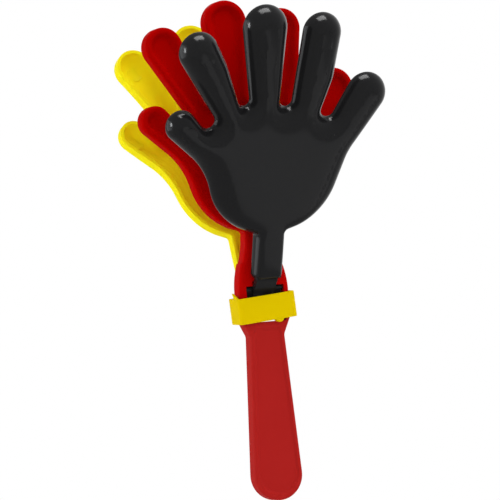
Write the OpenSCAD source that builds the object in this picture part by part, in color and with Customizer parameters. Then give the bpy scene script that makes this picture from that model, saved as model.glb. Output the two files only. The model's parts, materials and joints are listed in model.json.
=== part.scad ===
// Hand clapper: a middle hand on a handle, and a hollow hand hinged in front of it and behind it.
// X runs across the hands, -Y is the front and +Z points up the handle, with the origin at the grip.
// Places on the hands are [x, z] from the hinge axes, and every outline is a run of tangent arcs.

/* [Fingers] */
// Centre of the thumb's round tip
thumb_at = [-55.4, 96.5]; // [-60:0.1:100]
// Radius of the thumb's tip
thumb_r = 8.6; // [8:0.1:9.6]
// Centre of the index finger's tip
index_at = [-47.2, 137.3]; // [-52:0.1:142]
// Radius of the index finger's tip
index_r = 11; // [9:0.1:12]
// Centre of the middle finger's tip
middle_at = [-9.3, 149.5]; // [-14:0.1:155]
// Radius of the middle finger's tip
middle_r = 12.5; // [10:0.1:13.5]
// Centre of the ring finger's tip
ring_at = [24.5, 145.5]; // [20:0.1:150]
// Radius of the ring finger's tip
ring_r = 10.9; // [9:0.1:12]
// Centre of the little finger's tip
little_at = [53.4, 109.9]; // [48:0.1:115]
// Radius of the little finger's tip
little_r = 11.5; // [9:0.1:12.5]

/* [Webs between the fingers] */
// Centre of the web between thumb and index finger
thumb_web_at = [-40.1, 98.7]; // [-42:0.1:100]
// Radius of the web between thumb and index finger
thumb_web_r = 4.5; // [3:0.1:5]
// Centre of the web between index and middle finger
index_web_at = [-19.6, 110.3]; // [-21:0.1:112]
// Radius of the web between index and middle finger
index_web_r = 3.7; // [3:0.1:4.4]
// Centre of the web between middle and ring finger
middle_web_at = [5.1, 110.2]; // [3:0.1:112]
// Radius of the web between middle and ring finger
middle_web_r = 4.4; // [3:0.1:5]
// Centre of the web between ring and little finger
ring_web_at = [30.8, 101.8]; // [29:0.1:104]
// Radius of the web between ring and little finger
ring_web_r = 4.5; // [3:0.1:5]

/* [Palm] */
// Centre of the arc round the palm's base on the thumb side
palm_left_at = [-2.2, 67.4]; // [-5:0.1:70]
// Radius of the palm's base on the thumb side
palm_left_r = 35; // [33:0.1:37]
// Centre of the arc round the palm's base on the little finger's side
palm_right_at = [2.8, 70.4]; // [0:0.1:73]
// Radius of the palm's base on the little finger's side
palm_right_r = 36.6; // [34:0.1:38]
// Centre of the hollow side below the thumb
side_left_at = [-73.8, 49.8]; // [-77:0.1:53]
// Radius of the hollow side below the thumb
side_left_r = 38.7; // [35:0.1:40]
// Centre of the hollow side below the little finger
side_right_at = [75.2, 61.2]; // [58:0.1:79]
// Radius of the hollow side below the little finger
side_right_r = 35.7; // [32:0.1:37]

/* [Middle hand] */
// Thickness of the middle hand over its rim
hand_t = 9.2; // [8:0.1:10.5]
// Width of the rim round the middle hand
rim_w = 2.4; // [1.8:0.1:3]
// Thickness of the web inside the rim
web_t = 2.4; // [1.6:0.1:3.2]
// Radius of the cove between web and rim
cove_r = 2; // [1:0.1:2.4]

/* [Stem and handle] */
// Thickness of the stem, hinge block and handle
stem_t = 9; // [8.4:0.1:10]
// Half the width of the neck under the palm
neck_half = 8.5; // [7.5:0.1:9.5]
// Height of the narrowest place of the neck
neck_z = 30.6; // [28:0.1:32]
// Fillet between neck and palm
neck_fillet = 2; // [1:0.1:3]
// Half the width of the hinge block
block_half = 14.5; // [13.9:0.1:16]
// Height of the hinge block's widest place
block_z = -3.4; // [-6:0.1:-2]
// Height where the block's lower shoulder turns in
shoulder_z = -14.9; // [-17:0.1:-13]
// Radius of the lower shoulder
shoulder_r = 6; // [4:0.1:7]
// Half the width of the waist under the hinge block
waist_half = 9.75; // [8.6:0.05:10.6]
// Height of the waist
waist_z = -26.9; // [-30:0.1:-25]
// Radius of the waist's hollow
waist_r = 4; // [2:0.1:5]
// Height of the handle's lower end
handle_end_z = -118; // [-135:0.5:-105]
// Radius of the handle's round end
handle_end_r = 13.9; // [12.5:0.1:15.5]
// Radius along the edges of the stem and handle
edge_r = 1.2; // [0.6:0.1:1.6]
// Width of the border round the handle's sunk panel
panel_border = 2.8; // [2:0.1:3.6]
// Depth of the sunk panel
panel_depth = 0.9; // [0.4:0.1:1.4]
// Corner radius at the top of the sunk panel
panel_corner = 1.2; // [0.8:0.1:1.6]
// Half the width of the sunk panel's top edge
panel_half = 8; // [7:0.1:8.4]
// Distance from the slot down to the panel's top edge
panel_drop = 2.4; // [2:0.1:3]
// Distance from the hinge axes down to the middle of the grip
grip_drop = 72; // [60:0.5:85]

/* [Outer hands] */
// Lean of the front hand at its open stop, in degrees
front_open = 20.6; // [12:0.1:22]
// Lean of the rear hand at its open stop, in degrees
rear_open = 17.6; // [12:0.1:22]
// How much higher the outer hands' outline sits than the middle hand's
outer_raise = 1.4; // [0:0.1:3]
// Depth of an outer hand at its longest finger's tip
shell_depth = 12; // [9:0.1:14]
// Wall of an outer hand
shell_wall = 1.6; // [1.2:0.1:2]
// Straight part of the wall next to the rim
shell_lip = 2; // [1:0.1:3]
// How far the rounded edge reaches in from the outline
shell_round = 6.5; // [4:0.1:6.8]
// Half the width of an outer hand's neck
outer_neck_half = 8.8; // [8:0.1:9.6]
// Height of the lower end of an outer hand's neck
outer_neck_z = 7; // [6.5:0.1:9]
// Depth of the neck at its lower end
outer_neck_depth = 7; // [6:0.1:8.5]
// Radius of the corners at the neck's lower end
outer_neck_corner = 3; // [2.8:0.1:5]
// How far the rounded edge reaches in along the neck
outer_neck_round = 2.6; // [2:0.1:2.7]
// Length of the solid lower part of the neck
outer_neck_solid = 9; // [5:0.5:14]

/* [Hinges] */
// Half the width of the tongue
tongue_half = 6.35; // [5:0.05:7]
// Thickness of the tongue
tongue_t = 2.2; // [1.8:0.1:2.6]
// Distance of the tongue's front face from the hinge axis
tongue_out = 6.6; // [6.2:0.1:7.2]
// Height of the tongue's step
step_z = 4.9; // [4.6:0.1:5.4]
// Length of the tail below the hinge axis
tail_len = 4.8; // [4:0.1:5.4]
// Thickness of the tail
tail_t = 1.65; // [1.3:0.05:1.7]
// How much thinner the tail is beside the tongue
tail_step = 0.45; // [0.2:0.05:0.6]
// Distance of the tail's inner face from the hinge axis
tail_in = 0.45; // [0.4:0.05:0.7]
// Radius of the hinge pins
pin_r = 1.1; // [0.8:0.05:1.15]
// Length of a hinge pin past the end of its bar
pin_len = 2; // [1.4:0.1:2.2]
// Half the width of the slot in the hinge block
slot_half = 10.9; // [10:0.1:11.1]
// Height of the slot's top edge
slot_top = 2.5; // [2.4:0.1:3]
// Height of the slot's bottom edge
slot_bottom = -19.2; // [-20.5:0.1:-19]
// Thickness of the rib in the slot that stops the tails
stop_t = 1.5; // [1:0.1:1.6]
// Height of the stop rib
stop_h = 4.5; // [3:0.1:6]
// Height of the stop rib's top edge
stop_top = -3; // [-3.4:0.1:-2.8]

/* [Collar] */
// Height of the collar's front wall
collar_h = 14.4; // [13:0.1:15]
// How much lower the rear wall is, above and below
collar_taper = 0.6; // [0:0.1:1]
// Wall of the collar
collar_wall = 1.5; // [1:0.1:1.6]
// Corner radius of the collar
collar_corner = 1.4; // [0.8:0.1:2]
// Height of the collar's middle
collar_z = -11.15; // [-12:0.05:-11]
// Lean of the loose collar, in degrees
collar_lean = 3.4; // [0:0.1:3.5]
// Radius of the locking lug
lug_r = 2.6; // [2:0.1:2.8]
// Place of the locking lug across the collar
lug_x = 7.8; // [-7.8:0.1:7.8]
// How far the lug reaches into the slot
lug_reach = 1.5; // [0.8:0.1:2]
// Height of the barb on the collar's left wall
barb_h = 3.2; // [2:0.1:4]
// Width of the barb's foot
barb_w = 5; // [3:0.1:6]
// How far the barb's point leans back past its foot
barb_lean = 2; // [0:0.1:3]

/* [Clearances] */
// Gap between the rims of two hands that are clapped together
clap_gap = 0.3; // [0.2:0.05:0.6]
// Running clearance of a pin in its hole, on the radius
pin_clear = 0.05; // [0.02:0.01:0.1]
// Gap at the end of a pin and at the end of a bar
end_clear = 0.4; // [0.2:0.05:0.6]
// Gap between the two hinge bars
bar_clear = 0.4; // [0.3:0.05:0.6]
// Gap round the tongue in its notch above the slot
notch_clear = 0.45; // [0.3:0.05:0.8]
// Gap between the collar and each side of the hinge block
collar_side_gap = 0.75; // [0.7:0.05:1.5]
// Gap between the collar and the hinge block's front and back
collar_face_gap = 1.5; // [1:0.1:2]
// Gap between the locking lug and the slot's bottom edge
lug_clear = 0.2; // [0.1:0.05:0.4]

/* [Hidden] */
$fn = 48;

// Angle between the points along an arc
arc_step = 18;
// Reach of a cut past the face that it opens, and of a joined piece into its seat
cut = 1;
// Straight run left between a fillet and the arc that it meets
run = 0.2;

// Each bar lies in its own half of the block's thickness
hinge_y = stem_t / 4;
hinge_z = grip_drop;
bar_r = hinge_y - bar_clear / 2;
bar_half = slot_half - end_clear;
pin_half = bar_half + pin_len;
hole_r = pin_r + pin_clear;
hole_half = pin_half + end_clear;

// The collar is a loose sleeve round the hinge block
collar_w = 2 * (block_half + collar_side_gap + collar_wall);
collar_d = stem_t + 2 * (collar_face_gap + collar_wall);

// The rim plane of a closed outer hand, from its hinge axis
rim_y = hinge_y - hand_t / 2 - clap_gap;

// An outer hand's depth grows evenly from the neck to the longest finger's tip: it is lofted with a
// level front and a climbing rim, then turned until the rim is upright
tip_z = middle_at[1] + middle_r + outer_raise;
climb = (shell_depth - outer_neck_depth) / (tip_z - outer_neck_z);

// Neck and block run into each other through two equal arcs
flare = block_half - neck_half;
rise = neck_z - block_z;
flare_r = (flare * flare + rise * rise) / (4 * flare);

// A circle of an outline is [x, z, radius, share of the inset], with a negative radius where it is hollow
function at(place, radius, lift = 0) = [place[0], place[1] + lift, radius, 1];

// The hand's outline, anticlockwise seen from the front
function hand_circles(lift) = [
    at(palm_right_at, palm_right_r, lift), at(side_right_at, -side_right_r, lift),
    at(little_at, little_r, lift), at(ring_web_at, -ring_web_r, lift),
    at(ring_at, ring_r, lift), at(middle_web_at, -middle_web_r, lift),
    at(middle_at, middle_r, lift), at(index_web_at, -index_web_r, lift),
    at(index_at, index_r, lift), at(thumb_web_at, -thumb_web_r, lift),
    at(thumb_at, thumb_r, lift), at(side_left_at, -side_left_r, lift),
    at(palm_left_at, palm_left_r, lift)];

// Fillet circle that runs from a palm circle to the side of a neck
function fillet_circle(palm, half, radius, side, share = 1) =
    let (x = side * (half + radius), reach = palm[2] + radius + run)
    [x, palm[1] - sqrt(reach * reach - (x - palm[0]) * (x - palm[0])), -radius, share];

// The same hand with the neck of an outer hand
function outer_circles() =
    let (hand = hand_circles(outer_raise), corner = outer_neck_corner, x = outer_neck_half - corner,
         z = outer_neck_z + corner, share = outer_neck_round / shell_round)
    concat(hand, [
        fillet_circle(hand[len(hand) - 1], outer_neck_half, neck_fillet, -1, share),
        [-x, z, corner, share], [x, z, corner, share],
        fillet_circle(hand[0], outer_neck_half, neck_fillet, 1, share)]);

// Right side of the stem, from the handle's end upwards
stem_top = palm_left_at[1] - palm_left_r + rim_w;
stem_side = [
    at([waist_half + waist_r, waist_z], -waist_r),
    at([block_half - shoulder_r, shoulder_z], shoulder_r),
    at([block_half - flare_r, block_z], flare_r),
    at([neck_half + flare_r + run, neck_z], -flare_r),
    at([neck_half - 2 * edge_r, stem_top - 2 * edge_r], 2 * edge_r)];
stem_circles = concat([at([0, handle_end_z + handle_end_r], handle_end_r)], stem_side,
    [for (i = [len(stem_side) - 1:-1:0]) at([-stem_side[i][0], stem_side[i][1]], stem_side[i][2])]);

// The sunk panel keeps an even border inside the handle's sides and round its waist
panel_z = slot_bottom - panel_drop - panel_corner;
panel_x = panel_half - panel_corner;
panel_circles = [
    at([0, handle_end_z + handle_end_r], handle_end_r - panel_border),
    at([waist_half + waist_r, waist_z], -waist_r - panel_border),
    at([panel_x, panel_z], panel_corner), at([-panel_x, panel_z], panel_corner),
    at([-waist_half - waist_r, waist_z], -waist_r - panel_border)];

// Direction of the straight run between two circles of an outline
function heading(a, b) =
    let (across = b[0] - a[0], up = b[1] - a[1], slant = (b[2] - a[2]) / norm([across, up]))
    atan2(up, across) - asin(max(-1, min(1, slant)));

// Turn along one arc: left round an outward arc, right round a hollow one
function arc_turn(radius, change) =
    let (full = ((change % 360) + 360) % 360, left = full > 350 ? full - 360 : full)
    radius > 0 ? left : (left < 10 ? left : left - 360);

// Points of the outline that rolls round the circles, set in by a distance
function outline(circles, inset = 0) = [
    for (i = [0:len(circles) - 1])
        let (here = circles[i],
             before = heading(circles[(i + len(circles) - 1) % len(circles)], here),
             turn = arc_turn(here[2], heading(here, circles[(i + 1) % len(circles)]) - before),
             steps = max(1, ceil(abs(turn) / arc_step)))
        for (k = [0:steps])
            let (a = before - 90 + turn * k / steps, reach = here[2] - inset * here[3])
            [here[0] + reach * cos(a), here[1] + reach * sin(a)]];

// Solid through rings of one outline, front to back: a level is [inset, y, share of the climb]
module loft(circles, levels) {
    n = len(outline(circles));
    last = len(levels) - 1;
    points = [for (level = levels) for (p = outline(circles, level[0]))
        [p[0], level[1] + level[2] * climb * p[1], p[1]]];
    sides = [for (k = [0:last - 1]) for (j = [0:n - 1])
        let (a = k * n + j, b = k * n + (j + 1) % n)
        each [[a, b, b + n], [a, b + n, a + n]]];
    front = [for (j = [n - 1:-1:0]) j];
    back = [for (j = [0:n - 1]) last * n + j];
    polyhedron(points, concat([front], sides, [back]), convexity = 12);
}

// Plate of an outline between two heights of Y
module plate(points, y0, y1) {
    translate([0, y1, 0])
        rotate([90, 0, 0])
            linear_extrude(y1 - y0)
                polygon(points);
}

// Rod along X about the origin
module cross_rod(radius, half) {
    rotate([0, 90, 0])
        cylinder(h = 2 * half, r = radius, center = true);
}

// Half of the middle hand's section: web, cove, then a round bead for the rim
bead_r = rim_w / 2;
half_section = concat(
    [for (t = [0:45:90]) [rim_w + cove_r * (1 - sin(t)), web_t / 2 + cove_r * (1 - cos(t))]],
    [for (t = [0:45:180]) [bead_r * (1 + cos(t)), hand_t / 2 - bead_r * (1 - sin(t))]]);
hand_section = concat(
    [for (p = half_section) [p[0], -p[1], 0]],
    [for (i = [len(half_section) - 1:-1:0]) [half_section[i][0], half_section[i][1], 0]]);

// The stem's rounded edge is a frame round a flat core. The core's faces stand a hair proud of the frame,
// and the frame's inner wall ends inside the core, so the sunk panel is cut in the core alone.
core_inset = edge_r + 0.3;
frame_inset = core_inset + 0.3;
frame_y = stem_t / 2 - 0.02;
half_edge = concat(
    [for (t = [0:45:90]) [edge_r * (1 - cos(t)), frame_y - edge_r * (1 - sin(t))]],
    [[frame_inset, frame_y], [2 * edge_r - run, frame_y - edge_r]]);
stem_section = concat(
    [for (i = [len(half_edge) - 1:-1:0]) [half_edge[i][0], -half_edge[i][1], 0]],
    [for (p = half_edge) [p[0], p[1], 0]]);

// Small prism that fills the corner between palm and neck
module corner_fillet(side) {
    palm = side < 0 ? at(palm_left_at, palm_left_r) : at(palm_right_at, palm_right_r);
    c = fillet_circle(palm, neck_half, neck_fillet, side);
    inner = side * (neck_half - rim_w / 2);
    flat = stem_t / 2 - edge_r;
    difference() {
        plate([[inner, c[1]], [c[0], c[1]], [c[0], c[1] + 2 * neck_fillet], [inner, c[1] + 2 * neck_fillet]],
            -flat, flat);
        translate([c[0], 0, c[1]])
            rotate([90, 0, 0])
                cylinder(h = stem_t, r = neck_fillet, center = true);
    }
}

// Slot of the hinge block, with a notch for each tongue and the holes for the pins
module hinge_slot() {
    notch = tongue_half + notch_clear;
    translate([-slot_half, -stem_t, slot_bottom])
        cube([2 * slot_half, 2 * stem_t, slot_top - slot_bottom]);
    for (side = [-1, 1]) {
        translate([-notch, side < 0 ? -stem_t : hinge_y, 0])
            cube([2 * notch, stem_t - hinge_y, step_z - notch_clear]);
        translate([0, side * hinge_y, 0])
            cross_rod(hole_r, hole_half);
    }
}

module centre_hand() {
    color([0.66, 0.05, 0.05])
        translate([0, 0, hinge_z]) {
            loft(hand_circles(0), hand_section);
            corner_fillet(-1);
            corner_fillet(1);
            difference() {
                union() {
                    loft(stem_circles, stem_section);
                    difference() {
                        plate(outline(stem_circles, core_inset), -stem_t / 2, stem_t / 2);
                        plate(outline(panel_circles), -stem_t, panel_depth - stem_t / 2);
                        plate(outline(panel_circles), stem_t / 2 - panel_depth, stem_t);
                    }
                }
                hinge_slot();
            }
            translate([-slot_half - cut / 2, -stop_t / 2, stop_top - stop_h])
                cube([2 * slot_half + cut, stop_t, stop_h]);
        }
}

// Wall of a hollow hand, from the flat front over the elliptical edge and the lip to the rim,
// and back inside, one wall further in, to the floor of the hollow
front_y = climb * outer_neck_z - outer_neck_depth;
shell_section = concat(
    [for (t = [90:-22.5:0])
        [shell_round * (1 - cos(t)), front_y * sin(t) - shell_lip * (1 - sin(t)), 1 - sin(t)]],
    [[0, 0, 1], [shell_wall, 0, 1]],
    [for (t = [0:30:90])
        [shell_wall + (shell_round - shell_wall) * (1 - cos(t)),
         (front_y + shell_wall) * sin(t) - shell_lip * (1 - sin(t)), 1 - sin(t)]]);

// Tongue in side view: down from the neck, in through the slot and down again as a tail
tail_out = tail_in + tail_t;
tongue_top = outer_neck_z + outer_neck_solid / 2;
tongue_back = tongue_out - tongue_t;
solid_depth = outer_neck_depth - 2 * shell_wall;
tongue_side = [
    [-tongue_out, tongue_top], [-tongue_out, step_z], [-tail_out, pin_r / 2], [-tail_out, -tail_len],
    [-tail_in, -tail_len], [-tail_in, pin_r + tail_in], [-tongue_back, step_z + tongue_t / 3],
    [-tongue_back, tongue_top]];

// An outer hand in its clapped position, about its hinge axis
module outer_hand() {
    inside = shell_wall * 3 / 4;
    solid_half = outer_neck_half - inside;
    translate([0, rim_y, 0])
        rotate([atan(climb), 0, 0])
            loft(outer_circles(), shell_section);
    translate([-solid_half, rim_y - solid_depth - inside, outer_neck_z + inside])
        cube([2 * solid_half, solid_depth, outer_neck_solid]);
    rotate([90, 0, 90])
        linear_extrude(2 * tongue_half, center = true)
            polygon(tongue_side);
    translate([-bar_half, -tail_out + tail_step, -tail_len])
        cube([2 * bar_half, tail_t - tail_step, tail_len]);
    cross_rod(bar_r, bar_half);
    cross_rod(pin_r, pin_half);
}

module front_hand() {
    color([0.14, 0.14, 0.14])
        translate([0, -hinge_y, hinge_z])
            rotate([front_open, 0, 0])
                outer_hand();
}

module rear_hand() {
    color([0.97, 0.85, 0.08])
        mirror([0, 1, 0])
            translate([0, -hinge_y, hinge_z])
                rotate([rear_open, 0, 0])
                    outer_hand();
}

// Rectangle with true round corners, about the origin
module round_rectangle(w, d, r) {
    square([w - 2 * r, d], center = true);
    square([w, d - 2 * r], center = true);
    for (x = [-1, 1])
        for (y = [-1, 1])
            translate([x * (w / 2 - r), y * (d / 2 - r)])
                circle(r);
}

module collar() {
    inner_corner = max(collar_corner - collar_wall, collar_wall / 5);
    low = slot_bottom + lug_clear + lug_r;
    color([0.93, 0.83, 0.04])
        translate([0, 0, hinge_z]) {
            translate([0, 0, collar_z])
                rotate([0, -collar_lean, 0]) {
                    intersection() {
                        linear_extrude(collar_h, center = true)
                            difference() {
                                round_rectangle(collar_w, collar_d, collar_corner);
                                round_rectangle(collar_w - 2 * collar_wall, collar_d - 2 * collar_wall, inner_corner);
                            }
                        rotate([90, 0, 90])
                            linear_extrude(collar_w + cut, center = true)
                                polygon([
                                    [-collar_d / 2, -collar_h / 2], [collar_d / 2, -collar_h / 2 + collar_taper],
                                    [collar_d / 2, collar_h / 2 - collar_taper], [-collar_d / 2, collar_h / 2]]);
                    }
                    translate([-collar_w / 2, -collar_d / 2 + collar_corner, collar_h / 2 - collar_taper])
                        rotate([90, 0, 90])
                            linear_extrude(collar_wall)
                                polygon([[0, -collar_wall], [barb_w, -collar_wall], [barb_w, 0],
                                    [barb_w + barb_lean, barb_h], [0, 0]]);
                }
            translate([lug_x, -collar_d / 2 + collar_wall / 3, low])
                rotate([-90, 0, 0])
                    cylinder(h = collar_face_gap + collar_wall * 2 / 3 + lug_reach, r = lug_r);
        }
}

centre_hand();
front_hand();
rear_hand();
collar();
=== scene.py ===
# %% [markdown]
# # A hand clapper
# This lesson dresses a toy noisemaker: a flat red hand on a handle, with a hollow black hand hinged
# in front of it and a hollow yellow hand hinged behind. The solids come from a CAD model, which sets
# every size and every hinge. Blender adds the soft moulded shapes and the finishes, and each new
# piece is built where its solid already is, so nothing has to be put in place by eye.

# %% Load the CAD frame
import json
from math import asin, atan2, ceil, cos, hypot, pi, radians, sin, sqrt

import bmesh
import bpy
from bmesh.types import BMEdge, BMFace, BMVert
from mathutils import Matrix, Vector
from mathutils.bvhtree import BVHTree


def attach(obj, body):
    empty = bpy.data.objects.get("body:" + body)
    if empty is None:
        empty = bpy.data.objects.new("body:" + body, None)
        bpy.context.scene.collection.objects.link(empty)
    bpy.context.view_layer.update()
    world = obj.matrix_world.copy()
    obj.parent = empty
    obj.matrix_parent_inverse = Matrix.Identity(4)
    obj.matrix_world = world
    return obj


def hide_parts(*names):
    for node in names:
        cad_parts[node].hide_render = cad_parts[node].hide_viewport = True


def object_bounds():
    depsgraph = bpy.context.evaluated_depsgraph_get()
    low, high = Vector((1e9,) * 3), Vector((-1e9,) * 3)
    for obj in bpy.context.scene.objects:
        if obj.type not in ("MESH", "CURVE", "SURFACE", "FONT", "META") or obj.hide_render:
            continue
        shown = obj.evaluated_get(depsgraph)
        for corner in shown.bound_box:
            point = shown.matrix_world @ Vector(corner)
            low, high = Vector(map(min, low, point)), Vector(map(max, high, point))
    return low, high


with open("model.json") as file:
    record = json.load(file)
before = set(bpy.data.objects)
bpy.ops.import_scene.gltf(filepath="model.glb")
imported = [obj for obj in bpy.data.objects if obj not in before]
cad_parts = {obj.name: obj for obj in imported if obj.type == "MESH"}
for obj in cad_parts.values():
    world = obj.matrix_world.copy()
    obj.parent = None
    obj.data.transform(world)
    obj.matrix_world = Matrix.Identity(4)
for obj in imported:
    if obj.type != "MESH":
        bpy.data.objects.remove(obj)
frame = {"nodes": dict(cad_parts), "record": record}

cad_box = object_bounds()
MM = 0.001
print("CAD nodes:", sorted(frame["nodes"]))

# %% [markdown]
# The photograph was taken with a long lens from a little to the left, and the toy is held slightly
# tilted. Turning the model would be simpler to imagine, but the model's axes belong to its mounts and
# hinges, so the camera takes the tilt instead. Its angles and distance were found by matching the
# outlines of the three hands.

# %% Camera
VIEW_TURN, VIEW_RISE, VIEW_ROLL = radians(22.31), radians(-1.35), radians(4.80)
VIEW_DISTANCE = 1.7277
FOCAL_PIXELS, FRAME_PIXELS = 3093.8, 500
SENSOR_WIDTH = 36
AIM = Vector((0, 0, 0.0714))
AIM_RIGHT, AIM_DOWN = 11.1, 39.9


def add_object(name, data):
    """Puts a new object into the scene."""
    made = bpy.data.objects.new(name, data)
    bpy.context.scene.collection.objects.link(made)
    return made


ahead = Vector((sin(VIEW_TURN) * cos(VIEW_RISE), cos(VIEW_TURN) * cos(VIEW_RISE), -sin(VIEW_RISE)))
level = Vector((cos(VIEW_TURN), -sin(VIEW_TURN), 0))
plumb = ahead.cross(level)
across = cos(VIEW_ROLL) * level + sin(VIEW_ROLL) * plumb
down = cos(VIEW_ROLL) * plumb - sin(VIEW_ROLL) * level
stand = AIM - VIEW_DISTANCE * (ahead + (AIM_RIGHT * across + AIM_DOWN * down) / FOCAL_PIXELS)

camera_data = bpy.data.cameras.new("camera")
camera_data.sensor_width = SENSOR_WIDTH
camera_data.lens = FOCAL_PIXELS / FRAME_PIXELS * SENSOR_WIDTH
camera = add_object("camera", camera_data)
camera.matrix_world = Matrix.Translation(stand) @ Matrix((across, -down, -ahead)).transposed().to_4x4()
bpy.context.scene.camera = camera
print("camera at", [round(c, 3) for c in stand])

# %% [markdown]
# A hand's outline is a chain of circles: one for each fingertip, hollow ones for the webs between the
# fingers, and large ones round the palm. A belt pulled round such circles gives straight finger sides
# that run smoothly into round tips. The belt is cut into stations, and each station remembers which
# way is outwards, so a ring can later be drawn further in without working out the outline again.
# A circle is written as x, z and radius in millimetres from the hinge, and a hollow one is negative.
# A large circle between a web and a tip gives a finger a fuller side.

# %% Belt round a chain of circles
STATION_GAP, STATION_TURN = 1.3, radians(5)
NEARLY_STRAIGHT = radians(10)
CORNER_GAP = 0.2
HAND = [
    (3.4, 70.4, 36.6), (76.6, 60.7, -35.7),                         # palm, side below the little finger
    (53.4, 109.9, 11.5), (30.8, 101.8, -4.5),                       # little finger, web
    (7.7, 125.2, 25), (24.5, 145.5, 10.9), (5.4, 108.6, -4.1),      # ring finger's side and tip, web
    (-9.3, 149.5, 12.5), (-19.6, 109.5, -3.7),                      # middle finger, web
    (-72.3, 111.8, 45), (-47.2, 137.3, 11.0), (-40.1, 98.7, -4.5),  # index finger's side and tip, web
    (-55.4, 96.5, 8.6), (-73.8, 49.8, -38.7), (-2.2, 67.4, 35.0),   # thumb, side below it, palm
]


def heading(a, b):
    """Direction of the straight run of belt between two circles."""
    right, up = b[0] - a[0], b[1] - a[1]
    return atan2(up, right) - asin(max(-1, min(1, (b[2] - a[2]) / hypot(right, up))))


def arc_turn(radius, change):
    """How far the belt turns round a circle: left round a full one, right round a hollow one."""
    left = change % (2 * pi)
    if left > 2 * pi - NEARLY_STRAIGHT:
        left -= 2 * pi
    return left if radius > 0 or left < NEARLY_STRAIGHT else left - 2 * pi


def belt(circles):
    """Stations along the belt: pairs of a place and its outward direction."""
    found = []
    for i, here in enumerate(circles):
        following = circles[(i + 1) % len(circles)]
        start = heading(circles[i - 1], here)
        turn = arc_turn(here[2], heading(here, following) - start)
        steps = max(1, ceil(abs(turn * here[2]) / STATION_GAP), ceil(abs(turn) / STATION_TURN))
        for k in range(steps + 1):
            angle = start - pi / 2 + turn * k / steps
            out = Vector((cos(angle), 0, sin(angle)))
            found.append((Vector((here[0], 0, here[1])) + here[2] * out, out))
        place, out = found[-1]
        landing = Vector((following[0], 0, following[1])) + following[2] * out
        parts = ceil((landing - place).length / STATION_GAP)
        found += [(place.lerp(landing, k / parts), out) for k in range(1, parts)]
    return found


def corner_circle(palm, half, radius, side):
    """Hollow circle in the corner between a palm circle and the side of a neck."""
    x, reach = side * (half + radius), palm[2] + radius + CORNER_GAP
    return (x, palm[1] - sqrt(reach ** 2 - (x - palm[0]) ** 2), -radius)


def hand_circles(lift, right=0):
    """The hand from the little finger's side round the fingers to the thumb's side."""
    return [(x + right, z + lift, radius) for x, z, radius in HAND]


print("stations round the middle hand:", len(belt(hand_circles(0))))

# %% [markdown]
# Every moulded piece here starts as one ring on its outline. Extruding the ring's edges gives the next
# ring, and each new vertex still carries the number of its station, so it can be put at its own
# distance in from the outline and at its own depth. That is how a loft is made without listing
# faces. The last ring is closed with one large face, cut into a fine grid, and pushed out and smoothed
# many times like a skin that is blown up a little, which gives the soft crown of a moulded hand.

# %% Rings and crowns
GRID_CELL, GRID_START, GRID_SNAP = 1.9, 0.37, 1e-4
SWELL_PASSES, SWELL_FACTOR = 40, 0.5
BLEND_RINGS, BLEND_PASSES, BLEND_FACTOR = 3, 6, 0.35


def of_kind(geom, kind):
    return [g for g in geom if isinstance(g, kind)]


def edges_of(verts):
    """The edges of some vertices, each once and always in the same order."""
    return list(dict.fromkeys(edge for vert in verts for edge in vert.link_edges))


def set_ring(verts, order, stations, level_at):
    for vert in verts:
        place, out = stations[vert[order]]
        inset, y = level_at(vert[order])
        vert.co = place - inset * out + Vector((0, y, 0))


def first_ring(bm, stations, level_at):
    """A closed ring of edges on the outline, set in and raised by level_at(station number)."""
    order = bm.verts.layers.int.get("station") or bm.verts.layers.int.new("station")
    verts = bmesh.ops.create_circle(bm, segments=len(stations), radius=1)["verts"]
    for number, vert in enumerate(verts):
        vert[order] = number
    set_ring(verts, order, stations, level_at)
    return edges_of(verts)


def next_ring(bm, edges, stations, level_at):
    """Extrudes a ring of edges to the next level of the same outline."""
    order = bm.verts.layers.int["station"]
    made = bmesh.ops.extrude_edge_only(bm, edges=edges)["geom"]
    set_ring(of_kind(made, BMVert), order, stations, level_at)
    return of_kind(made, BMEdge)


def crown(bm, edges, rise):
    """Closes a ring with a fine grid and swells it along Y by about rise."""
    face = bmesh.ops.contextual_create(bm, geom=edges)["faces"][0]
    geom = [face, *face.edges, *face.verts]
    for axis in (0, 2):
        normal = Vector((axis == 0, 0, axis == 2))
        spread = [vert.co[axis] for vert in of_kind(geom, BMVert)]
        cut = min(spread) + GRID_START * GRID_CELL
        while cut < max(spread):
            geom = bmesh.ops.bisect_plane(bm, geom=geom, dist=GRID_SNAP, plane_co=normal * cut,
                                          plane_no=normal)["geom"]
            cut += GRID_CELL
    cap = set(of_kind(geom, BMFace))
    inner = [vert for vert in of_kind(geom, BMVert) if cap.issuperset(vert.link_faces)]
    for _ in range(SWELL_PASSES):
        bmesh.ops.translate(bm, verts=inner, vec=(0, rise / SWELL_PASSES, 0))
        bmesh.ops.smooth_vert(bm, verts=inner, factor=SWELL_FACTOR, use_axis_y=True)
    soft = set(inner)
    for _ in range(BLEND_RINGS):
        soft |= {edge.other_vert(vert) for vert in soft for edge in vert.link_edges}
    for _ in range(BLEND_PASSES):
        bmesh.ops.smooth_vert(bm, verts=list(soft), factor=BLEND_FACTOR, use_axis_y=True)


# %% [markdown]
# Building in millimetres about a hinge keeps the numbers readable. This step moves a finished bmesh
# into the shared frame in metres, turns its faces outwards, and makes an object of it. Smooth shading
# alone would smear the light over flat faces, so edges sharper than a set angle are marked sharp. On
# pieces with large flat faces a Weighted Normal modifier also lets those decide the shading.

# %% From bmesh to piece
HINGE_Z = 0.072
AT_HINGE = Matrix.Translation((0, 0, HINGE_Z)) @ Matrix.Scale(MM, 4)
MERGE_DISTANCE, SHARP = 2e-6, 35


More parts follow.
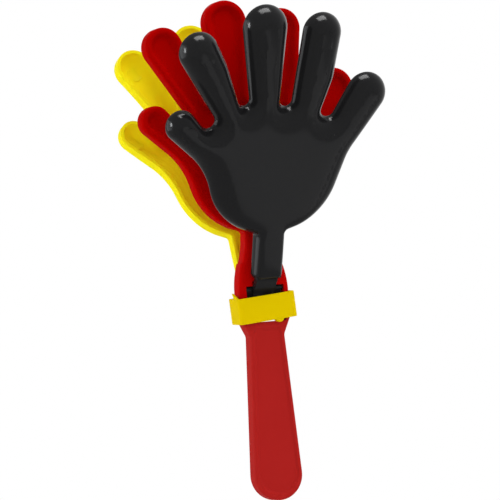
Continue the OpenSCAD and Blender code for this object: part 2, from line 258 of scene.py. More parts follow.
def piece(name, bm, place, body, node, material, sharp=SHARP):
    """A finished object from a bmesh in millimetres, riding on its body."""
    bmesh.ops.transform(bm, matrix=place, verts=bm.verts)
    bmesh.ops.remove_doubles(bm, verts=bm.verts, dist=MERGE_DISTANCE)
    bmesh.ops.recalc_face_normals(bm, faces=bm.faces)
    for face in bm.faces:
        face.smooth = True
    mesh = bpy.data.meshes.new(name)
    bm.to_mesh(mesh)
    loose = sum(not edge.is_manifold for edge in bm.edges)
    bm.free()
    mesh.set_sharp_from_angle(angle=radians(sharp))
    mesh.materials.append(material)
    made = add_object(name, mesh)
    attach(made, body)
    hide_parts(node)
    print(f"{name}: {len(mesh.polygons)} faces, {loose} open edges")
    return made


def add_modifier(made, kind, **settings):
    modifier = made.modifiers.new(kind.lower(), kind)
    for key, value in settings.items():
        setattr(modifier, key, value)


# %% [markdown]
# Shader maths reads better as sums than as chains of node calls. This class wraps one output of a
# node. Adding or multiplying two of them adds the Math node, and every other node comes from one
# method, which sets the node's own settings before it fills or links its sockets.

# %% Wires for shader maths
class Wire:
    def __init__(self, tree, socket=None):
        self.tree, self.socket = tree, socket

    def node(self, kind, settings, sockets, output=0):
        made = self.tree.nodes.new("ShaderNode" + kind)
        for key, value in settings.items():
            setattr(made, key, value)
        for key, value in sockets.items():
            if isinstance(value, Wire):
                self.tree.links.new(value.socket, made.inputs[key])
            else:
                made.inputs[key].default_value = value
        return Wire(self.tree, made.outputs[output] if len(made.outputs) else None)

    def maths(self, operation, first, second):
        return self.node("Math", {"operation": operation}, {0: first, 1: second})

    def __add__(self, other):
        return self.maths("ADD", self, other)

    def __radd__(self, other):
        return self.maths("ADD", other, self)

    def __sub__(self, other):
        return self.maths("SUBTRACT", self, other)

    def __rsub__(self, other):
        return self.maths("SUBTRACT", other, self)

    def __mul__(self, other):
        return self.maths("MULTIPLY", self, other)

    def __rmul__(self, other):
        return self.maths("MULTIPLY", other, self)


def empty_tree(owner):
    """A wire into the emptied node tree of a material or of the sky."""
    owner.use_nodes = True
    owner.node_tree.nodes.clear()
    return Wire(owner.node_tree)


def smooth_rise(wire, low, high):
    """Rises smoothly from 0 where the wire is at low to 1 where it is at high."""
    return wire.node("MapRange", {"interpolation_type": "SMOOTHSTEP"},
                     {0: wire, 1: low, 2: high, 3: 0.0, 4: 1.0})


# %% [markdown]
# All four pieces are injection-moulded plastic. Seen closely such plastic isn't one flat colour: the
# pigment drifts a little where the melt flowed, the skin has a faint orange peel, and handling leaves
# hair scratches that show in the gloss. Red and yellow plastic also lets light in and spreads it under
# the surface, which softens the shade in the hollows. Each effect is a noise at its real size on
# Object coordinates, because these pieces have no seams for a UV map to follow. A painted picture of
# the plastic would look right only from the photograph's side.

# %% Moulded plastic
FLOW_SCALE, PEEL_SCALE, GRAIN_SCALE = 28, 420, 1800
HAIR_TURN, HAIR_SCALE, HAIR_RANGE = (0.3, 0.7, 0.5), (260, 9000, 2600), (0.6, 0.72)
GRAIN_SHARE, GRAIN_BUMP, BUMP_DISTANCE = 0.25, 0.12, 0.001
FLOW_DULLS, GRAIN_DULLS, HAIR_DULLS = 0.10, 0.06, 0.07
GLOW_DEPTH, GLOW_COLOURS = 0.003, (1.0, 0.8, 0.3)
# Heights in metres over which the grip's painted sheen fades into the plain colour above.
GRIP_SHEEN_ENDS = (0.056, 0.066)


def srgb(red, green, blue):
    """A colour as seen on screen, in the linear values that shaders use."""
    return tuple((c / 255 / 12.92) if c < 10.3 else ((c / 255 + 0.055) / 1.055) ** 2.4
                 for c in (red, green, blue)) + (1,)


def plastic(name, colour, drift, roughness, gloss, peel, scratch, glow=0.0, above=None):
    """Moulded plastic: colour and the colour it drifts to, gloss as the specular level, glow as the
    share of light that spreads under the surface, and a plain colour above a grip with painted sheen."""
    material = bpy.data.materials.new(name)
    wire = empty_tree(material)
    where = wire.node("TexCoord", {}, {}, "Object")
    flow = wire.node("TexNoise", {}, {"Vector": where, "Scale": FLOW_SCALE, "Detail": 3,
                                      "Roughness": 0.55})
    grain = wire.node("TexNoise", {}, {"Vector": where, "Scale": GRAIN_SCALE, "Detail": 2})
    pits = wire.node("TexNoise", {}, {"Vector": where, "Scale": PEEL_SCALE, "Detail": 2,
                                      "Roughness": 0.4})
    drawn = wire.node("Mapping", {}, {"Vector": where, "Rotation": HAIR_TURN, "Scale": HAIR_SCALE})
    hair = wire.node("TexNoise", {}, {"Vector": drawn, "Scale": 1, "Detail": 3})
    worn = smooth_rise(hair, *HAIR_RANGE)
    mixed = wire.node("Mix", {"data_type": "RGBA"}, {
        0: flow * (1 - GRAIN_SHARE) + grain * GRAIN_SHARE, 6: colour, 7: drift}, 2)
    # The grip's paler colour holds a painted sheen, which fades by height into the plain colour above.
    if above:
        height = wire.node("SeparateXYZ", {}, {0: where}, "Z")
        mixed = wire.node("Mix", {"data_type": "RGBA"}, {
            0: smooth_rise(height, *GRIP_SHEEN_ENDS), 6: mixed, 7: above}, 2)
    relief = pits * peel + grain * (peel * GRAIN_BUMP) - worn * scratch
    bump = wire.node("Bump", {}, {"Height": relief, "Strength": 1.0, "Distance": BUMP_DISTANCE})
    dull = roughness + (flow - 0.5) * FLOW_DULLS + (grain - 0.5) * GRAIN_DULLS + worn * HAIR_DULLS
    shader = wire.node("BsdfPrincipled", {}, {
        "Base Color": mixed, "Roughness": dull, "Normal": bump, "Specular IOR Level": gloss,
        "Subsurface Weight": glow, "Subsurface Scale": GLOW_DEPTH, "Subsurface Radius": GLOW_COLOURS})
    wire.node("OutputMaterial", {}, {"Surface": shader})
    return material


# %% [markdown]
# The black hand is the glossiest piece and lets no light in. The red and yellow ones are satin and a
# little milky, with the yellow the milkiest, and the grip is the dullest, as hands have rubbed it. The
# grip's colour is also a paler, whiter red than the stem above the collar: a whitish sheen is painted
# into it, and it fades by height into the plain red above. One function with a row of values for each
# finish keeps the five alike where real plastics are alike.

# %% Finishes
LOOKS = {
    "black_plastic": dict(colour=srgb(26, 26, 27), drift=srgb(29, 29, 30), roughness=0.14,
                          gloss=0.08, peel=0.0012, scratch=0.0006),
    "red_plastic": dict(colour=srgb(182, 4, 2), drift=srgb(175, 2, 1), roughness=0.40,
                        gloss=0.002, peel=0.010, scratch=0.002, glow=0.25),
    # The grip's whiter red is a painted sheen; above the grip the colour turns to plain red.
    "handle_plastic_painted_sheen": dict(colour=srgb(180, 36, 33), drift=srgb(174, 33, 31), roughness=0.45,
                           gloss=0.008, peel=0.012, scratch=0.003, glow=0.2, above=srgb(188, 5, 3)),
    "yellow_plastic": dict(colour=srgb(255, 240, 26), drift=srgb(252, 234, 20), roughness=0.36,
                           gloss=0.006, peel=0.010, scratch=0.002, glow=0.45),
    "collar_plastic": dict(colour=srgb(233, 203, 1), drift=srgb(227, 195, 0), roughness=0.40,
                           gloss=0.006, peel=0.012, scratch=0.002, glow=0.25),
}
finish = {name: plastic(name, **look) for name, look in LOOKS.items()}
print("finishes:", sorted(finish))

# %% [markdown]
# The front and rear hands are hollow mouldings of one shape in two colours. A real one is shallow at
# the neck and deeper towards the fingertips, and its back has a soft rounding that reaches nearly to
# the middle of each finger. One bevel width for the whole hand would be too much for the fingers or
# too little for the palm. So the reach is measured at each station, by going in until the far side of
# the finger is as near, and then evened out along the outline.

# %% Depth and rounding of a hollow hand
NECK_Z, NECK_DEPTH, TIP_Z, TIP_DEPTH = 7, 7, 163.4, 12
PALM_Z, NECK_TO_PALM, PALM_TO_TIP = 70, (33, 54), (45, 75)
CROWN_RISE, CROWN_ZONE = 0.9, (20, 60)
HAND_ROUND, NECK_ROUND = 12, 3.4
ROOM_SHARE, ROOM_STEP, ROOM_LEFT, ROOM_PASSES = 0.95, 0.05, 0.97, 16


def ease(value, low, high):
    """Rises smoothly from 0 at low to 1 at high."""
    t = max(0, min(1, (value - low) / (high - low)))
    return t * t * (3 - 2 * t)


def outer_depth(place, shallow):
    """Depth of the shell, which can grow shallower from the palm to the fingertips."""
    slope = (TIP_DEPTH - NECK_DEPTH) / (TIP_Z - NECK_Z)
    depth = NECK_DEPTH + slope * (place.z - NECK_Z) - CROWN_RISE * ease(place.z, *CROWN_ZONE)
    return depth * (1 - shallow * ease(hypot(place.x, place.z - PALM_Z), *PALM_TO_TIP))


def room(outline, place, out):
    """Distance from a station in to the middle of a finger, or as far as a palm is rounded."""
    depth = 1
    while depth < HAND_ROUND and outline.find_nearest(place - depth * out)[3] > ROOM_LEFT * depth:
        depth += ROOM_STEP
    return depth


def roundings(stations):
    """How far in the rounding reaches at each station."""
    wall = bmesh.new()
    ring = first_ring(wall, stations, lambda number: (0, -1))
    next_ring(wall, ring, stations, lambda number: (0, 1))
    outline = BVHTree.FromBMesh(wall)
    wall.free()
    found = []
    for place, out in stations:
        reach = ROOM_SHARE * room(outline, place, out)
        found.append(NECK_ROUND + (reach - NECK_ROUND) * ease(place.z, *NECK_TO_PALM))
    for _ in range(ROOM_PASSES):
        around = found[-1:] + found + found[:1]
        found = [(around[i] + around[i + 1] + around[i + 2]) / 3 for i in range(len(found))]
    return found


print("a shell is", NECK_DEPTH, "mm deep at the neck and up to", TIP_DEPTH, "mm at the fingertips")

# %% [markdown]
# A hollow hand has a wall of about two millimetres and a little draft next to the rim, so that it can
# leave its mould. Sculpting a block would give uneven walls, so one ring on the rim grows two ways:
# over the outer skin, and down into the hollow, each closed by its own crown. The hand is drawn in the
# clapped position, and its hinge's lean turns it to where it rests.

# %% Skin of a hollow hand
OUTER_LIFT, RIM_Y = 1.4, -2.65
NECK_HALF, NECK_CORNER, NECK_FILLET = 8.8, 4.2, 2
LIP_SHARE, DRAFT = 0.1, radians(16)
SKIN_TURN, SKIN_STEPS = radians(78), 9
WALL, FLOOR, INNER_SHARE = 1.8, 1.6, 0.85


def skin(bm, ring, stations, edge, reaches, depths, draft, lip):
    """Carries a ring of the rim along a quarter of an ellipse that starts with its draft, and closes
    it with a crown."""
    for k in range(SKIN_STEPS + 1):
        turn = draft + (SKIN_TURN - draft) * k / SKIN_STEPS
        inwards = (cos(draft) - cos(turn)) / cos(draft)
        deep = lip + (1 - lip) * ((sin(turn) - sin(draft)) / (1 - sin(draft)))
        ring = next_ring(bm, ring, stations, lambda number: (
            edge[number] + reaches[number] * inwards, RIM_Y - depths[number] * deep))
    crown(bm, ring, -CROWN_RISE)


def hollow_hand(grow, right, softness, draft, lip, shallow):
    """Wall of a hollow hand in the clapped position, about its hinge axis."""
    hand = hand_circles(OUTER_LIFT, right)
    x, z = NECK_HALF - NECK_CORNER, NECK_Z + NECK_CORNER
    stations = belt(hand + [
        corner_circle(hand[-1], NECK_HALF, NECK_FILLET, -1), (-x, z, NECK_CORNER),
        (x, z, NECK_CORNER), corner_circle(hand[0], NECK_HALF, NECK_FILLET, 1)])
    reaches = roundings(stations)
    edge = [-grow * ease(place.z, *NECK_TO_PALM) for place, out in stations]
    depths = [outer_depth(place, shallow) for place, out in stations]
    bm = bmesh.new()
    rim = first_ring(bm, stations, lambda number: (edge[number], RIM_Y))
    inner = next_ring(bm, rim, stations, lambda number: (edge[number] + WALL, RIM_Y))
    skin(bm, rim, stations, edge, [softness * reach for reach in reaches], depths, draft, lip)
    skin(bm, inner, stations, [e + WALL for e in edge], [INNER_SHARE * reach for reach in reaches],
         [depth - FLOOR for depth in depths], DRAFT, LIP_SHARE)
    return bm


# %% [markdown]
# The record of the CAD model says where each hinge is and how far its hand can close. The lower end of
# the range is the clap, so turning back by that much leads from the drawn position to rest. The rear
# hand is the same moulding facing the other way, which is a mirror image in Y, and a mirrored mesh is
# inside out until its normals are recalculated. The photograph shows the rear hand's sides straighter
# and its fingertips shallower, so each hand has a small fit of its own.

# %% Front and rear hands
HAND_FIT = {
    "front": dict(grow=0.25, right=0.3, softness=1.0, draft=DRAFT, lip=LIP_SHARE, shallow=0.0),
    "rear": dict(grow=-0.2, right=1.0, softness=0.2, draft=radians(1), lip=0.65, shallow=0.2)}
HAND_FINISH = {"front": ("front_hand", "black_plastic"), "rear": ("rear_hand", "yellow_plastic")}
SHELL_EDGE, SHELL_SHARP = 0.5, 60
hinges = {joint["child"]: joint for joint in frame["record"]["behaviour"]["joints"]}


def hinge_place(body):
    """From millimetres in the clapped position to metres at rest."""
    joint = hinges[body]
    lean = Matrix.Rotation(radians(-joint["range_deg"][0]), 4, Vector(joint["axis"]))
    side = 1 if joint["pos_m"][1] < 0 else -1
    return Matrix.Translation(joint["pos_m"]) @ lean @ Matrix.Diagonal((MM, side * MM, MM, 1))


def soften(made, width):
    """Rounds the sharp edges of a piece."""
    add_modifier(made, "BEVEL", width=width * MM, segments=3, limit_method="ANGLE",
                 angle_limit=radians(50))


shells = {}
for body, (node, slot) in HAND_FINISH.items():
    shells[body] = piece(body + "_hand_shell", hollow_hand(**HAND_FIT[body]), hinge_place(body), body,
                         node, finish[slot], sharp=SHELL_SHARP)
    soften(shells[body], SHELL_EDGE)

# %% [markdown]
# The small parts of the hinge and the collar are plates, boxes and rods. No moulded edge is quite
# sharp, and a rounded one catches a thin line of light, so each of these shapes gets its bevel as it
# is made. A bevel modifier on the whole piece would also round the lines where two shapes meet.

# %% Plates, boxes and rods
ROD_SEGMENTS, ROD_TOLERANCE = 32, 1e-4


def round_edges(bm, edges, width, segments=2):
    bmesh.ops.bevel(bm, geom=edges, offset=width, offset_type="OFFSET", segments=segments, profile=0.5,
                    affect="EDGES", material=-1)


def plate(left, width, side, edge):
    """A new bmesh with a plate that has the given outline in y and z, extruded along X."""
    bm = bmesh.new()
    rail = [bm.verts.new((left, y, z)) for y, z in side]
    face = bmesh.ops.contextual_create(bm, geom=rail)["faces"]
    moved = bmesh.ops.extrude_face_region(bm, geom=face)["geom"]
    bmesh.ops.translate(bm, vec=(width, 0, 0), verts=of_kind(moved, BMVert))
    round_edges(bm, bm.edges[:], edge)
    return bm


def slab(bm, low, high, edge):
    """A bevelled box between two corners."""
    low, high = Vector(low), Vector(high)
    verts = bmesh.ops.create_cube(bm, size=1)["verts"]
    bmesh.ops.scale(bm, vec=high - low, verts=verts)
    bmesh.ops.translate(bm, vec=(low + high) / 2, verts=verts)
    round_edges(bm, edges_of(verts), edge)


def rod(bm, radius, half, edge=0.25):
    """A rod along X about the origin, with rounded ends."""
    verts = bmesh.ops.create_cone(bm, cap_ends=True, segments=ROD_SEGMENTS, radius1=radius,
                                  radius2=radius, depth=2 * half,
                                  matrix=Matrix.Rotation(pi / 2, 4, "Y"))["verts"]
    rims = [e for e in edges_of(verts)
            if abs(abs(e.verts[0].co.x + e.verts[1].co.x) / 2 - half) < ROD_TOLERANCE]
    round_edges(bm, rims, edge)


# %% [markdown]
# Each hollow hand hangs on a tongue that steps forward from the hinge into its neck, a round bar with
# a stub pin at each end, and a flat tail that meets the stop. The tail is as wide as the slot, so in
# the black hand it also stands as dark plastic where the slot has only shade. They are small, plain and
# half hidden, so the simple shapes are enough, as long as they sit where the CAD hinge has them.

# %% Hinge tongues
TONGUE_LEFT, TONGUE_WIDTH, TONGUE_EDGE = -6.95, 12.7, 0.35
TONGUE_SIDE = [(-8.0, 11.5), (-7.4, 7.2), (-6.2, 4.7), (-2.1, 0.6), (-2.1, -4.8), (-0.45, -4.8),
               (-0.45, 1.6), (-3.0, 4.8), (-3.4, 11.5)]
ROOT_LOW, ROOT_HIGH, ROOT_EDGE = (-7.6, -7.6, 8.2), (7.6, -3.9, 17.2), 0.3
# The tail spans the whole slot: a real part of the hinge, and in the black hand also dark plastic put
# where the slot has only shade.
TAIL_SHADE_FILL_LOW, TAIL_SHADE_FILL_HIGH, TAIL_SHADE_FILL_EDGE = (-10.5, -1.65, -4.8), (10.5, -0.45, 0), 0.2
BAR_RADIUS, BAR_HALF = 1.7, 10.5
PIN_RADIUS, PIN_HALF = 1.1, 12.5


def hinge_tongue():
    """Tongue, its root in the neck, tail, bar and pins, clapped and about the hinge axis."""
    bm = plate(TONGUE_LEFT, TONGUE_WIDTH, TONGUE_SIDE, TONGUE_EDGE)
    slab(bm, ROOT_LOW, ROOT_HIGH, ROOT_EDGE)
    # The slot-wide tail also fills the slot's shade with dark plastic in the black hand.
    slab(bm, TAIL_SHADE_FILL_LOW, TAIL_SHADE_FILL_HIGH, TAIL_SHADE_FILL_EDGE)
    rod(bm, BAR_RADIUS, BAR_HALF)
    rod(bm, PIN_RADIUS, PIN_HALF)
    return bm


for body, (node, slot) in HAND_FINISH.items():
    tongue = piece(body + "_hinge_tongue", hinge_tongue(), hinge_place(body), body, node,
                   finish[slot])
    add_modifier(tongue, "WEIGHTED_NORMAL", keep_sharp=True)

# %% [markdown]
# Inside the hollows are round marks where the mould's pins pushed the warm hand out. The photograph
# shows two in the rear hand, in the index finger and in the thumb, and the front hand is taken to have
# them too. A ray from the open side finds the floor, so that each mark lies flat on it whatever the
# slope is there. The pin leaves a thin raised ring, which is a low rod with a shallow inset.

# %% Pin marks
MARK_RADIUS, MARK_HALF, MARK_RISE, MARK_RING, MARK_DIP = 4.3, 1.0, 0.5, 0.8, 0.3
MARK_SPOTS = {"index": (-45.1, 136.7), "thumb": (-52.3, 94.8)}


def pin_mark():
    bm = bmesh.new()
    rod(bm, MARK_RADIUS, MARK_HALF)
    top = max(bm.faces, key=lambda face: face.calc_center_median().x)
    bmesh.ops.inset_individual(bm, faces=[top], thickness=MARK_RING, depth=-MARK_DIP)
    bmesh.ops.translate(bm, vec=(MARK_RISE - MARK_HALF, 0, 0), verts=bm.verts)
    return bm


for body, (node, slot) in HAND_FINISH.items():
    place = hinge_place(body)
    shell = shells[body].evaluated_get(bpy.context.evaluated_depsgraph_get())
    deeper = (place.to_3x3() @ Vector((0, -1, 0))).normalized()
    for finger, (x, z) in MARK_SPOTS.items():
        _, spot, up, _ = shell.ray_cast(place @ Vector((x, 0, z)), deeper)
        lie = up.to_track_quat("X", "Z").to_matrix().to_4x4()
        piece(f"{body}_{finger}_mark", pin_mark(), Matrix.Translation(spot) @ lie @ Matrix.Scale(MM, 4),
              body, node, finish[slot])

# %% [markdown]
# The middle hand is a flat web with a raised bead all round, so that the outer hands clap on its rim
# and ring. One half of its section is drawn from the mid-plane out, over the bead and down a broad
# cove to the web, and the other half is its mirror image.

# %% Middle hand
HAND_HALF, BEAD, WEB_HALF, WEB_DISH = 4.6, 1.6, 1.5, 0.3
COVE_START, COVE_END, COVE_STEPS = 2.4, 6.2, 10
QUARTER = [radians(degrees) for degrees in range(0, 91, 15)]
MIRROR_MERGE = 1e-3
HAND_SHARP = 50


def mirror_back(bm):
    """Adds the other half, behind the mid-plane."""
    bmesh.ops.mirror(bm, geom=bm.verts[:] + bm.edges[:] + bm.faces[:], axis="Y",
                     merge_dist=MIRROR_MERGE)


def middle_hand():
    stations = belt(hand_circles(0))
    section = [(0, 0)] + [(BEAD * (1 - cos(turn)), HAND_HALF - BEAD + BEAD * sin(turn))
                          for turn in QUARTER]
    for k in range(1, COVE_STEPS + 1):
        share = k / COVE_STEPS
        section.append((COVE_START + (COVE_END - COVE_START) * share,
                        HAND_HALF - (HAND_HALF - WEB_HALF) * ease(share, 0, 1)))
    bm = bmesh.new()
    ring = first_ring(bm, stations, lambda number: section[0])
    for inset, y in section[1:]:
        ring = next_ring(bm, ring, stations, lambda number: (inset, -y))
    crown(bm, ring, WEB_DISH)
    mirror_back(bm)
    return bm


piece("middle_hand", middle_hand(), AT_HINGE, "handle", "centre_hand",
      finish["red_plastic"], sharp=HAND_SHARP)

# %% [markdown]
# Neck, hinge block and handle are one flat bar with rounded edges and a shallow sunk panel on each
# face of the grip. Its outline is a belt as well, and the rounded edge is narrow on the grip and wide
# on the neck. The flat face between the edge and the panel is filled between two rings, and the panel
# goes on down from its own ring with a soft shoulder, as a mould is polished.

# %% Handle
STEM_HALF, EDGE_DEEP = 4.5, 1.5
GRIP_EDGE, NECK_EDGE, TOP_EDGE = 1.3, 2.8, 0.8
GRIP_TO_NECK, NECK_TO_TOP = (-24, -14), (29, 34.5)
GRIP_END = (-0.2, -103.9, 14.3)
STEM_SIDE = [(14.4, -26.9, -4), (9.0, -14.9, 6), (-34.67, -1.5, 49.67), (58.37, 31.5, -49.67)]
STEM_NECK_HALF, TOP_HALF, TOP_INSET, TOP_CORNER = 8.5, 14.5, 1.2, 1
PANEL = [(-0.2, -102.7, 12.4), (14.4, -26.9, -5.9), (5.7, -24.4, 2.8), (-5.7, -24.4, 2.8),
         (-14.4, -26.9, -5.9)]
PANEL_STEPS = [(-0.3, 0), (0, 0.05), (0.3, 0.22), (0.65, 0.45), (1.0, 0.68), (1.4, 0.84), (1.9, 0.9)]


def stem_outline():
    """From the grip's end up the right side, into the palm, and down the left side."""
    hand = hand_circles(0)
    tops = {}
    for side, palm in ((1, hand[0]), (-1, hand[-1])):
        x, radius = side * TOP_HALF, palm[2] - TOP_INSET
        tops[side] = [corner_circle(palm, STEM_NECK_HALF, NECK_FILLET, side),
                      (x, palm[1] - sqrt(radius ** 2 - (x - palm[0]) ** 2), TOP_CORNER)]
    left = [(-x, z, radius) for x, z, radius in STEM_SIDE]
    return belt([GRIP_END] + STEM_SIDE + tops[1] + tops[-1][::-1] + left[::-1])


def stem_edge(z):
    """Width of the rounded edge: narrow round the grip, wide on the neck, narrow inside the palm."""
    neck = GRIP_EDGE + (NECK_EDGE - GRIP_EDGE) * ease(z, *GRIP_TO_NECK)
    return neck + (TOP_EDGE - neck) * ease(z, *NECK_TO_TOP)


def stem():
    stations, panel = stem_outline(), belt(PANEL)
    edge = [stem_edge(place.z) for place, out in stations]
    bm = bmesh.new()
    ring = first_ring(bm, stations, lambda number: (0, 0))
    for turn in QUARTER:
        y = STEM_HALF - EDGE_DEEP + EDGE_DEEP * sin(turn)
        ring = next_ring(bm, ring, stations, lambda number: ((1 - cos(turn)) * edge[number], -y))
    inner = first_ring(bm, panel, lambda number: (PANEL_STEPS[0][0], -STEM_HALF))
    bmesh.ops.triangle_fill(bm, edges=ring + inner, use_beauty=True, normal=(0, -1, 0))
    for inset, drop in PANEL_STEPS[1:]:
        inner = next_ring(bm, inner, panel, lambda number: (inset, drop - STEM_HALF))
    bmesh.ops.contextual_create(bm, geom=inner)
    mirror_back(bm)
    return bm


handle = piece("handle_stem", stem(), AT_HINGE, "handle", "centre_hand",
               finish["handle_plastic_painted_sheen"])

# %% [markdown]
# The hinges sit in a slot right through the block, with a notch above it on each side for the tongues
# and two cross holes for the pins. Rings can't give a through-hole across curved sides, so boxes and
# rods are cut out with a Boolean. The rib across the slot is the stop on which the hands lean.

# %% Slot for the hinges
SLOT_BOXES = [((-10.7, -9, -18.45), (11.9, 9, 1.72)), ((-6.8, -9, -1), (6.8, -2.25, 4.45)),
              ((-6.8, 2.25, -1), (6.8, 9, 4.45))]
SLOT_EDGE = 0.2
HOLE_RADIUS, HOLE_HALF, HOLE_Y = 1.15, 12.9, (-2.25, 2.25)
RIB_LOW, RIB_HIGH, RIB_EDGE = (-11.4, -0.75, -7.5), (11.4, 0.75, -3), 0.25


def carve(made, bm):
    """Cuts a bmesh in millimetres about the hinge out of a piece."""
    bmesh.ops.transform(bm, matrix=AT_HINGE, verts=bm.verts)
    bmesh.ops.recalc_face_normals(bm, faces=bm.faces)
    mesh = bpy.data.meshes.new("cutter")
    bm.to_mesh(mesh)
    bm.free()
    cutter = add_object("cutter", mesh)
    add_modifier(made, "BOOLEAN", operation="DIFFERENCE", solver="EXACT", object=cutter)
    bpy.context.view_layer.update()
    cut = bpy.data.meshes.new_from_object(made.evaluated_get(bpy.context.evaluated_depsgraph_get()))
    made.modifiers.clear()
    made.data = cut
    bpy.data.objects.remove(cutter)


for low, high in SLOT_BOXES:
    box = bmesh.new()
    slab(box, low, high, SLOT_EDGE)
    carve(handle, box)
for y in HOLE_Y:
    hole = bmesh.new()
    rod(hole, HOLE_RADIUS, HOLE_HALF)
    bmesh.ops.translate(hole, vec=(0, y, 0), verts=hole.verts)
    carve(handle, hole)
handle.data.set_sharp_from_angle(angle=radians(SHARP))
add_modifier(handle, "WEIGHTED_NORMAL", keep_sharp=True)
print("handle after the cuts:", len(handle.data.polygons), "faces")

rib = bmesh.new()
slab(rib, RIB_LOW, RIB_HIGH, RIB_EDGE)
piece("stop_rib", rib, AT_HINGE, "handle", "centre_hand", finish["handle_plastic_painted_sheen"])

# %% [markdown]
# The collar is a loose sleeve that is pushed up over the hinge block to keep the bars in their slot.
# It sits a little crooked and leans two ways, its left wall ends in a slanted barb, and a round lug
# on its inside drops into the slot. It starts as a box without a top and bottom, and the wall comes
# from Solidify.

# %% Collar
COLLAR_W, COLLAR_D, COLLAR_H, COLLAR_WALL = 34.8, 15, 14.4, 1.5
COLLAR_CORNER, COLLAR_SEGMENTS, COLLAR_EDGE, COLLAR_SHARP = 2.2, 5, 0.35, 50
COLLAR_AT, COLLAR_ROLL, COLLAR_PITCH = (0.25, 0, -10.5), radians(-4.5), radians(3.0)
BARB_SIDE = [(0, -1.5), (5, -1.5), (5, 0), (7, 3.2), (0, 0)]
BARB_BACK, BARB_SINK, BARB_EDGE = 1.4, 0.1, 0.25
LUG_RADIUS, LUG_HALF, LUG_EDGE, LUG_AT = 2.6, 1.8, 0.3, (7.2, -5.2, -16.6)
collar_place = (AT_HINGE @ Matrix.Translation(COLLAR_AT) @ Matrix.Rotation(COLLAR_ROLL, 4, "Y")
                @ Matrix.Rotation(COLLAR_PITCH, 4, "X"))


def collar_sleeve():
    bm = bmesh.new()
    verts = bmesh.ops.create_cube(bm, size=1)["verts"]
    bmesh.ops.scale(bm, vec=(COLLAR_W, COLLAR_D, COLLAR_H), verts=verts)
    ends = [face for face in bm.faces if abs(face.normal.z) > 0.5]
    bmesh.ops.delete(bm, geom=ends, context="FACES_ONLY")
    uprights = [edge for edge in bm.edges if abs(edge.verts[0].co.z - edge.verts[1].co.z) > 1]
    round_edges(bm, uprights, COLLAR_CORNER, COLLAR_SEGMENTS)
    return bm


def collar_barb():
    """Slanted fin on top of the left wall."""
    front, top = -COLLAR_D / 2 + BARB_BACK, COLLAR_H / 2
    return plate(BARB_SINK - COLLAR_W / 2, COLLAR_WALL - 2 * BARB_SINK,
                 [(front + y, top + z) for y, z in BARB_SIDE], BARB_EDGE)


sleeve = piece("collar_sleeve", collar_sleeve(), collar_place, "handle", "collar",
               finish["collar_plastic"], sharp=COLLAR_SHARP)
add_modifier(sleeve, "SOLIDIFY", thickness=COLLAR_WALL * MM, offset=-1, use_even_offset=True)
soften(sleeve, COLLAR_EDGE)
add_modifier(sleeve, "WEIGHTED_NORMAL", keep_sharp=True)
piece("collar_barb", collar_barb(), collar_place, "handle", "collar",
      finish["collar_plastic"])
lug = bmesh.new()
rod(lug, LUG_RADIUS, LUG_HALF, LUG_EDGE)
bmesh.ops.transform(lug, matrix=Matrix.Translation(LUG_AT) @ Matrix.Rotation(pi / 2, 4, "Z"),
                    verts=lug.verts)
piece("collar_lug", lug, AT_HINGE, "handle", "collar", finish["collar_plastic"])

# %% [markdown]
# The toy was photographed in front of white. A plain grey sky fills the shadows, but the camera and
# reflections see it as white, which gives the white background without putting more light on the toy.
# The pale floor lies well below the handle, so that the toy's shadow on it doesn't cross the picture,
# and further away it fades into the same white.

# %% Floor and sky
FLOOR_DROP, FLOOR_SIZE, FLOOR_FADE = 0.13, 15, (0.35, 1.3)
FLOOR_COLOUR, WHITE = (0.86, 0.86, 0.86, 1), (1, 1, 1, 1)
SKY_FILL = 0.48


def sees_white(wire):
    """1 for rays from the camera, off a mirror or through glass, and 0 for those that light the toy."""
    seen, mirrored, through = [wire.node("LightPath", {}, {}, f"Is {kind} Ray")
                               for kind in ("Camera", "Glossy", "Transmission")]
    return wire.node("Math", {"operation": "MINIMUM"}, {0: seen + mirrored + through, 1: 1.0})


bm = bmesh.new()
bmesh.ops.create_grid(bm, x_segments=1, y_segments=1, size=FLOOR_SIZE)
bmesh.ops.translate(bm, vec=(0, 0, cad_box[0][2] - FLOOR_DROP), verts=bm.verts)
floor_mesh = bpy.data.meshes.new("floor")
bm.to_mesh(floor_mesh)
bm.free()
floor = add_object("floor", floor_mesh)
floor_material = bpy.data.materials.new("pale_floor")
ground = empty_tree(floor_material)
where = ground.node("TexCoord", {}, {}, "Object")
away = ground.node("VectorMath", {"operation": "LENGTH"}, {0: where}, "Value")
paint = ground.node("BsdfDiffuse", {}, {"Color": FLOOR_COLOUR})
blank = ground.node("Emission", {}, {"Color": WHITE, "Strength": 1.0})
fade = smooth_rise(away, *FLOOR_FADE) * sees_white(ground)
surface = ground.node("MixShader", {}, {0: fade, 1: paint, 2: blank})
ground.node("OutputMaterial", {}, {"Surface": surface})
floor_mesh.materials.append(floor_material)

world = bpy.data.worlds.new("sky")
bpy.context.scene.world = world
sky = empty_tree(world)
strength = SKY_FILL + sees_white(sky) * (1 - SKY_FILL)
backdrop = sky.node("Background", {}, {"Color": WHITE, "Strength": strength})
sky.node("OutputWorld", {}, {"Surface": backdrop})
print("floor at", round(cad_box[0][2] - FLOOR_DROP, 3), "m, sky fill", SKY_FILL)

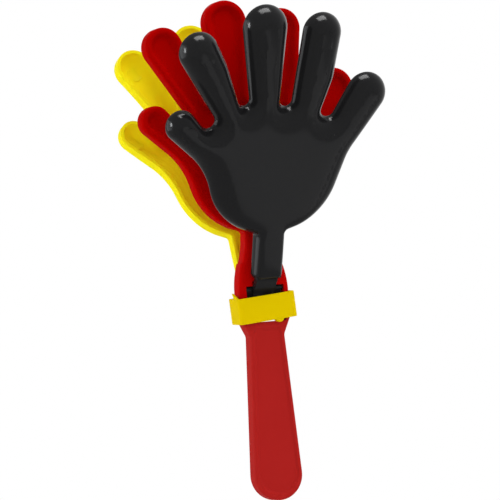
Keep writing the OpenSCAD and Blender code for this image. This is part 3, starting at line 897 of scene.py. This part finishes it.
# %% [markdown]
# The hollows in the photograph are dark at the right and at the top, so the main light comes from the
# front right and from above. A box beside the camera fills the fronts, one behind on the left lights
# the side walls, and a weak one on the right lifts the far sides. A glossy surface shows a lamp's own
# shape, so these boxes are hidden from reflections, and four others are seen only there: one overhead
# for the fingertips, a small one and a tall strip that draw cool lines down the left edges, and a low
# card that the black palm mirrors. That way a highlight can be moved without changing the light.

# %% Lamps
MIDDLE = Vector((0, 0, 0.15))
LIGHT_BOXES = {  # place, width, height, brightness per area
    "key_box": ((0.5, -0.75, 0.85), 0.7, 0.7, 1.6),
    "front_fill": ((-0.45, -1.05, 0.22), 0.8, 0.8, 1.4),
    "left_box": ((-1.05, 0.35, 0.35), 0.8, 1.0, 1.9),
    "top_box": ((0.35, -0.35, 1.2), 0.6, 0.6, 3.0),
    "right_box": ((1.1, -0.15, 0.35), 0.8, 1.0, 0.8),
}
GLEAMS = {  # the same, and for two of them a cool colour
    "top_gleam": ((0.05, -0.30, 1.25), 0.75, 0.42, 23),
    "left_gleam": ((-1.0, 0.02, 0.33), 0.15, 0.32, 48, (0.95, 0.98, 1)),
    "left_strip": ((-0.95, 0.35, 0.25), 0.7, 0.9, 4.0, (0.93, 0.97, 1)),
    "low_card": ((0.17, -0.27, -0.15), 0.5, 0.26, 1.15),
}


def soft_box(name, place, width, height, radiance, colour=(1, 1, 1)):
    """A rectangular lamp that faces the middle of the toy."""
    data = bpy.data.lights.new(name, "AREA")
    data.shape, data.size, data.size_y = "RECTANGLE", width, height
    data.energy = radiance * width * height * pi
    data.color = colour
    lamp = add_object(name, data)
    lamp.location = place
    lamp.rotation_euler = (MIDDLE - Vector(place)).to_track_quat("-Z", "Y").to_euler()
    return lamp


for name, settings in LIGHT_BOXES.items():
    soft_box(name, *settings).visible_glossy = False
for name, settings in GLEAMS.items():
    soft_box(name, *settings).visible_diffuse = False
print("lamps:", [*LIGHT_BOXES, *GLEAMS])

# %% [markdown]
# The colours are shown with the standard view transform. The visual model has to keep
# to the CAD model's size.

# %% Finish
bpy.context.scene.view_settings.view_transform = "Standard"
